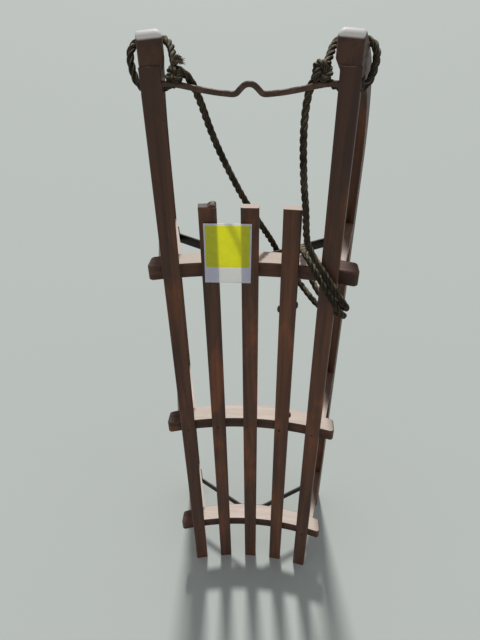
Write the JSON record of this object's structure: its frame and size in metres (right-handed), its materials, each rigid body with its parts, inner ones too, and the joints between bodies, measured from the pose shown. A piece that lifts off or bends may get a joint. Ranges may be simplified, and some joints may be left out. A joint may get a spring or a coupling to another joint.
{
  "type": "wooden sled",
  "caption": "Hand-drawn wooden sled with bent runners, a slatted seat on bowed crossbars, iron braces, a draw rod and a tow rope, stood on its rear ends.",
  "frame": {"origin": "centre of the sled's outline on the floor that it stands on by its rear ends", "axes": "+Z along the sled from its rear ends to its horns, +Y from the seat towards the runners' faces, +X across it to the right as seen from the seat side"},
  "size_m": [0.3836, 0.242, 1.2015],
  "materials": {
    "bars": "dark stain and varnish, worn pale at the edges",
    "runners": "dark stain and varnish, worn pale at the edges",
    "frame": "dark stain, dull",
    "iron": "dark and lightly rusted",
    "shoe": "worn and dull",
    "rope": "twisted fibre, weathered",
    "card": "blank, yellow and white"
  },
  "bodies": {
    "root": {"rail_left": "bars", "rail_right": "bars", "slat_left": "bars", "slat_middle": "bars", "slat_right": "bars", "runner_left": "runners", "runner_right": "runners", "crossbar_front": "frame", "crossbar_middle": "frame", "crossbar_rear": "frame", "leg_front_left": "frame", "leg_front_right": "frame", "leg_middle_left": "frame", "leg_middle_right": "frame", "leg_rear_left": "frame", "leg_rear_right": "frame", "brace_front": "iron", "brace_rear": "iron", "draw_rod": "iron", "rod_nut_left": "iron", "rod_nut_right": "iron", "shoe_left": "shoe", "shoe_right": "shoe", "rope_run": "rope", "rope_loop_left": "rope", "rope_loop_right": "rope", "rope_knot_left": "rope", "rope_knot_right": "rope"}
  },
  "joints": []
}
